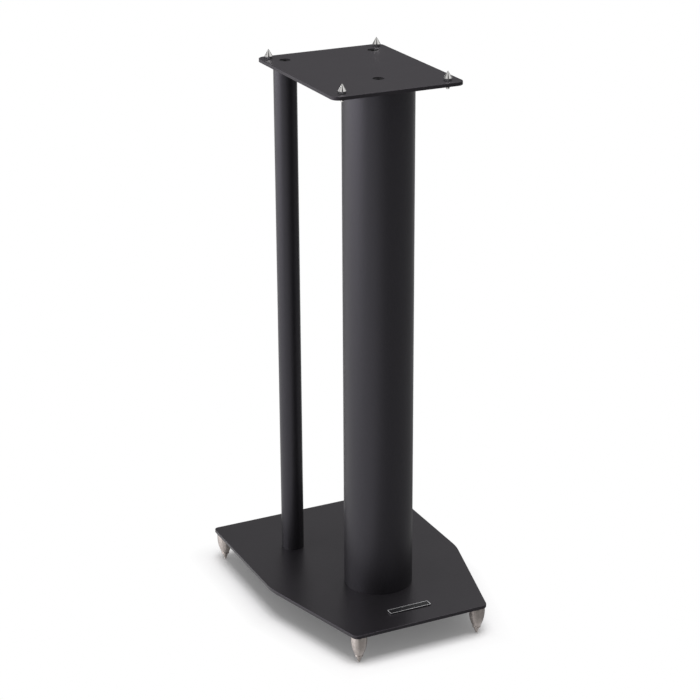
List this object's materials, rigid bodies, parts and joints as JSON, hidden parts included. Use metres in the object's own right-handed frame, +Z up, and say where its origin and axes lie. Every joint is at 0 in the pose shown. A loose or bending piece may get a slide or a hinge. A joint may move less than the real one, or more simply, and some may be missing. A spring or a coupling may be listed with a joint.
{
  "type": "speaker stand",
  "caption": "Floor stand for a bookshelf loudspeaker, with thick and slim steel columns between a tapered base plate on spiked screw feet and a flat top plate with adjustable spikes.",
  "frame": {"origin": "on the floor, at the level of the foot tips, under the middle of the base plate, which is also the middle of the top plate", "axes": "+Z up; -Y towards the front, where the base plate narrows and carries the badge; +X to the right of a viewer who faces the front"},
  "size_m": [0.235, 0.3076, 0.6198],
  "materials": {
    "black_powder_coat": "satin black powder coat with a fine even texture",
    "black_bolt": "black oxide, low sheen",
    "nickel": "turned and nickel plated, warm satin",
    "polished_steel": "turned and polished",
    "zinc_steel": "bright zinc plate",
    "bare_steel": "sawn and turned, uncoated",
    "badge_black": "semi-gloss black",
    "badge_silver": "bright cut edge"
  },
  "bodies": {
    "stand": {"base_plate": "black_powder_coat", "top_plate": "black_powder_coat", "main_column": "black_powder_coat", "main_column_top_disc": "bare_steel", "main_column_top_bolt": "black_bolt", "main_column_bottom_disc": "bare_steel", "main_column_bottom_bolt": "black_bolt", "rear_column_left": "black_powder_coat", "rear_column_left_top_plug": "bare_steel", "rear_column_left_top_bolt": "black_bolt", "rear_column_left_bottom_plug": "bare_steel", "rear_column_left_bottom_bolt": "black_bolt", "rear_column_right": "black_powder_coat", "rear_column_right_top_plug": "bare_steel", "rear_column_right_top_bolt": "black_bolt", "rear_column_right_bottom_plug": "bare_steel", "rear_column_right_bottom_bolt": "black_bolt", "foot_stud_front_left": "zinc_steel", "foot_stud_front_right": "zinc_steel", "foot_stud_rear_left": "zinc_steel", "foot_stud_rear_right": "zinc_steel", "spike_nut_front_left": "zinc_steel", "spike_nut_front_right": "zinc_steel", "spike_nut_rear_left": "zinc_steel", "spike_nut_rear_right": "zinc_steel", "badge_plate": "badge_black", "badge_rim": "badge_silver"},
    "front_left_foot": {"foot_front_left": "nickel", "foot_tip_front_left": "polished_steel"},
    "front_right_foot": {"foot_front_right": "nickel", "foot_tip_front_right": "polished_steel"},
    "rear_left_foot": {"foot_rear_left": "nickel", "foot_tip_rear_left": "polished_steel"},
    "rear_right_foot": {"foot_rear_right": "nickel", "foot_tip_rear_right": "polished_steel"},
    "front_left_spike": {"spike_front_left": "polished_steel"},
    "front_right_spike": {"spike_front_right": "polished_steel"},
    "rear_left_spike": {"spike_rear_left": "polished_steel"},
    "rear_right_spike": {"spike_rear_right": "polished_steel"}
  },
  "joints": [
    {"name": "front_left_foot_height", "type": "slide", "parent": "stand", "child": "front_left_foot", "axis": [0, 0, -1], "range_m": [0, 0.008]},
    {"name": "front_right_foot_height", "type": "slide", "parent": "stand", "child": "front_right_foot", "axis": [0, 0, -1], "range_m": [0, 0.008]},
    {"name": "rear_left_foot_height", "type": "slide", "parent": "stand", "child": "rear_left_foot", "axis": [0, 0, -1], "range_m": [0, 0.008]},
    {"name": "rear_right_foot_height", "type": "slide", "parent": "stand", "child": "rear_right_foot", "axis": [0, 0, -1], "range_m": [0, 0.008]},
    {"name": "front_left_spike_height", "type": "slide", "parent": "stand", "child": "front_left_spike", "axis": [0, 0, 1], "range_m": [0, 0.004]},
    {"name": "front_right_spike_height", "type": "slide", "parent": "stand", "child": "front_right_spike", "axis": [0, 0, 1], "range_m": [0, 0.004]},
    {"name": "rear_left_spike_height", "type": "slide", "parent": "stand", "child": "rear_left_spike", "axis": [0, 0, 1], "range_m": [0, 0.004]},
    {"name": "rear_right_spike_height", "type": "slide", "parent": "stand", "child": "rear_right_spike", "axis": [0, 0, 1], "range_m": [0, 0.004]}
  ]
}
